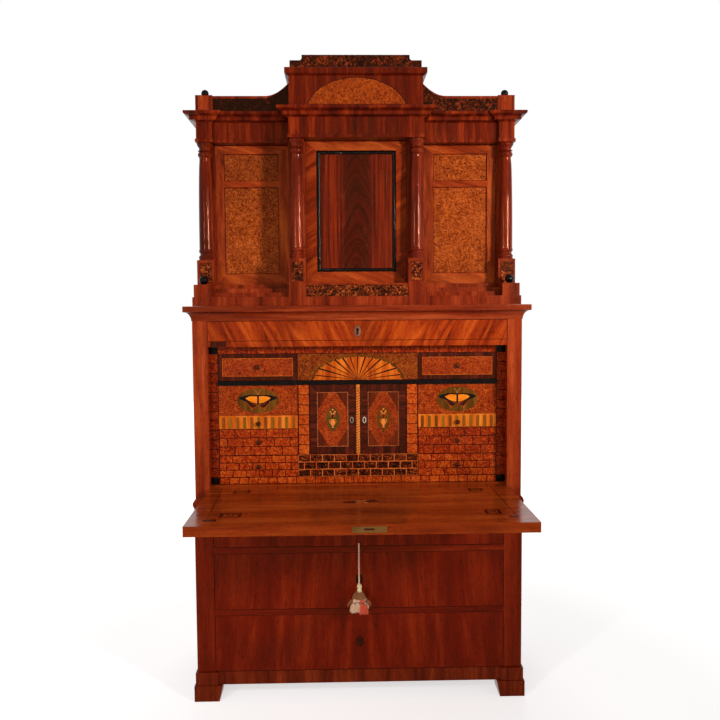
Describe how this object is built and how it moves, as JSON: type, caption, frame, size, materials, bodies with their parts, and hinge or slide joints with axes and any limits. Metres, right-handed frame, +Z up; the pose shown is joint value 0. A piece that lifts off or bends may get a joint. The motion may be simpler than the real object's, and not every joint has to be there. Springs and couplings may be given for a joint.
{
  "type": "fall-front secretaire",
  "caption": "Writing cabinet with a fold-down writing flap, a fitted interior of small drawers and cupboards, long drawers below and a columned cupboard on top.",
  "frame": {"origin": "on the floor, in the middle of the width and of the depth taken up with the flap open", "axes": "+Z up, +X to the right seen from the front, the front looks along -Y"},
  "size_m": [1.197, 1.0428, 2.2621],
  "materials": {
    "mahogany": "french polished mahogany veneer, glossy",
    "drawer_mahogany": "dark red french polished mahogany veneer, glossy",
    "flap_mahogany": "light orange-brown polished mahogany, very glossy",
    "brick_burl": "burl veneer cut as bricks, glossy",
    "satinwood": "satinwood and burl marquetry, glossy",
    "dark_burl": "dark burl veneer, glossy",
    "ebonised": "ebonised wood, glossy",
    "oak_carcase": "plain oak, matte",
    "brass": "aged brass, satin",
    "dark_steel": "dark aged steel",
    "cream_silk": "cream silk cord and threads, matte"
  },
  "bodies": {
    "case": {"attic_block": "mahogany", "attic_crest": "dark_burl", "back_panel": "oak_carcase", "base_plinth": "mahogany", "column_inner_left": "mahogany", "column_inner_right": "mahogany", "column_outer_left": "mahogany", "column_outer_right": "mahogany", "corner_ball_left": "ebonised", "corner_ball_right": "ebonised", "dust_board_lower": "mahogany", "dust_board_upper": "mahogany", "entablature": "mahogany", "finial_left": "ebonised", "finial_right": "ebonised", "floor_board": "oak_carcase", "foot_back_left": "mahogany", "foot_back_right": "mahogany", "foot_front_left": "mahogany", "foot_front_right": "mahogany", "frieze_board": "mahogany", "gallery_bay_centre": "brick_burl", "gallery_bay_left": "brick_burl", "gallery_bay_right": "brick_burl", "gallery_moulding": "ebonised", "scroll_panel_left": "dark_burl", "scroll_panel_right": "dark_burl", "side_left": "mahogany", "side_right": "mahogany", "upper_base": "mahogany", "upper_case": "mahogany", "upper_shelf": "oak_carcase", "waist_cornice": "mahogany", "writing_bed": "flap_mahogany"},
    "flap": {"writing_flap": "flap_mahogany", "lock_plate": "brass"},
    "frieze_drawer": {"frieze_drawer": "drawer_mahogany"},
    "drawer_top": {"drawer_top": "drawer_mahogany", "key": "dark_steel", "key_ring": "dark_steel", "tassel_cord": "cream_silk", "tassel": "cream_silk"},
    "drawer_middle": {"drawer_middle": "drawer_mahogany"},
    "drawer_bottom": {"drawer_bottom": "drawer_mahogany"},
    "upper_drawer": {"upper_drawer": "dark_burl"},
    "gallery_drawer_low_left": {"gallery_drawer_low_left": "brick_burl"},
    "gallery_drawer_high_left": {"gallery_drawer_high_left": "brick_burl"},
    "gallery_drawer_butterfly_left": {"gallery_drawer_butterfly_left": "satinwood"},
    "gallery_drawer_top_left": {"gallery_drawer_top_left": "brick_burl"},
    "gallery_drawer_low_right": {"gallery_drawer_low_right": "brick_burl"},
    "gallery_drawer_high_right": {"gallery_drawer_high_right": "brick_burl"},
    "gallery_drawer_butterfly_right": {"gallery_drawer_butterfly_right": "satinwood"},
    "gallery_drawer_top_right": {"gallery_drawer_top_right": "brick_burl"},
    "gallery_drawer_centre": {"gallery_drawer_centre": "dark_burl"},
    "cupboard_door_left": {"cupboard_door_left": "dark_burl"},
    "cupboard_door_right": {"cupboard_door_right": "dark_burl"},
    "upper_door_left": {"upper_door_left": "mahogany"},
    "upper_door_right": {"upper_door_right": "mahogany"},
    "upper_door_centre": {"upper_door_centre": "mahogany"}
  },
  "joints": [
    {"name": "flap_fold", "type": "hinge", "parent": "case", "child": "flap", "pos_m": [0, -0.01315, 0.7495], "axis": [1, 0, 0], "range_deg": [-90, 0]},
    {"name": "frieze_drawer_slide", "type": "slide", "parent": "case", "child": "frieze_drawer", "axis": [0, -1, 0], "range_m": [0, 0.38]},
    {"name": "drawer_top_slide", "type": "slide", "parent": "case", "child": "drawer_top", "axis": [0, -1, 0], "range_m": [0, 0.38]},
    {"name": "drawer_middle_slide", "type": "slide", "parent": "case", "child": "drawer_middle", "axis": [0, -1, 0], "range_m": [0, 0.38], "deforming": ["tassel_cord", "tassel"]},
    {"name": "drawer_bottom_slide", "type": "slide", "parent": "case", "child": "drawer_bottom", "axis": [0, -1, 0], "range_m": [0, 0.38]},
    {"name": "upper_drawer_slide", "type": "slide", "parent": "case", "child": "upper_drawer", "axis": [0, -1, 0], "range_m": [0, 0.22]},
    {"name": "gallery_drawer_low_left_slide", "type": "slide", "parent": "case", "child": "gallery_drawer_low_left", "axis": [0, -1, 0], "range_m": [0, 0.26]},
    {"name": "gallery_drawer_high_left_slide", "type": "slide", "parent": "case", "child": "gallery_drawer_high_left", "axis": [0, -1, 0], "range_m": [0, 0.26]},
    {"name": "gallery_drawer_butterfly_left_slide", "type": "slide", "parent": "case", "child": "gallery_drawer_butterfly_left", "axis": [0, -1, 0], "range_m": [0, 0.26]},
    {"name": "gallery_drawer_top_left_slide", "type": "slide", "parent": "case", "child": "gallery_drawer_top_left", "axis": [0, -1, 0], "range_m": [0, 0.26]},
    {"name": "gallery_drawer_low_right_slide", "type": "slide", "parent": "case", "child": "gallery_drawer_low_right", "axis": [0, -1, 0], "range_m": [0, 0.26]},
    {"name": "gallery_drawer_high_right_slide", "type": "slide", "parent": "case", "child": "gallery_drawer_high_right", "axis": [0, -1, 0], "range_m": [0, 0.26]},
    {"name": "gallery_drawer_butterfly_right_slide", "type": "slide", "parent": "case", "child": "gallery_drawer_butterfly_right", "axis": [0, -1, 0], "range_m": [0, 0.26]},
    {"name": "gallery_drawer_top_right_slide", "type": "slide", "parent": "case", "child": "gallery_drawer_top_right", "axis": [0, -1, 0], "range_m": [0, 0.26]},
    {"name": "gallery_drawer_centre_slide", "type": "slide", "parent": "case", "child": "gallery_drawer_centre", "axis": [0, -1, 0], "range_m": [0, 0.26]},
    {"name": "cupboard_door_left_swing", "type": "hinge", "parent": "case", "child": "cupboard_door_left", "pos_m": [-0.1707, 0.02835, 0.99425], "axis": [0, 0, -1], "range_deg": [0, 95]},
    {"name": "cupboard_door_right_swing", "type": "hinge", "parent": "case", "child": "cupboard_door_right", "pos_m": [0.1707, 0.02835, 0.99425], "axis": [0, 0, 1], "range_deg": [0, 95]},
    {"name": "upper_door_left_swing", "type": "hinge", "parent": "case", "child": "upper_door_left", "pos_m": [-0.5039, 0.11635, 1.72445], "axis": [0, 0, -1], "range_deg": [0, 90]},
    {"name": "upper_door_right_swing", "type": "hinge", "parent": "case", "child": "upper_door_right", "pos_m": [0.5039, 0.11635, 1.72445], "axis": [0, 0, 1], "range_deg": [0, 90]},
    {"name": "upper_door_centre_swing", "type": "hinge", "parent": "case", "child": "upper_door_centre", "pos_m": [-0.1767, 0.04135, 1.72445], "axis": [0, 0, -1], "range_deg": [0, 90]}
  ]
}
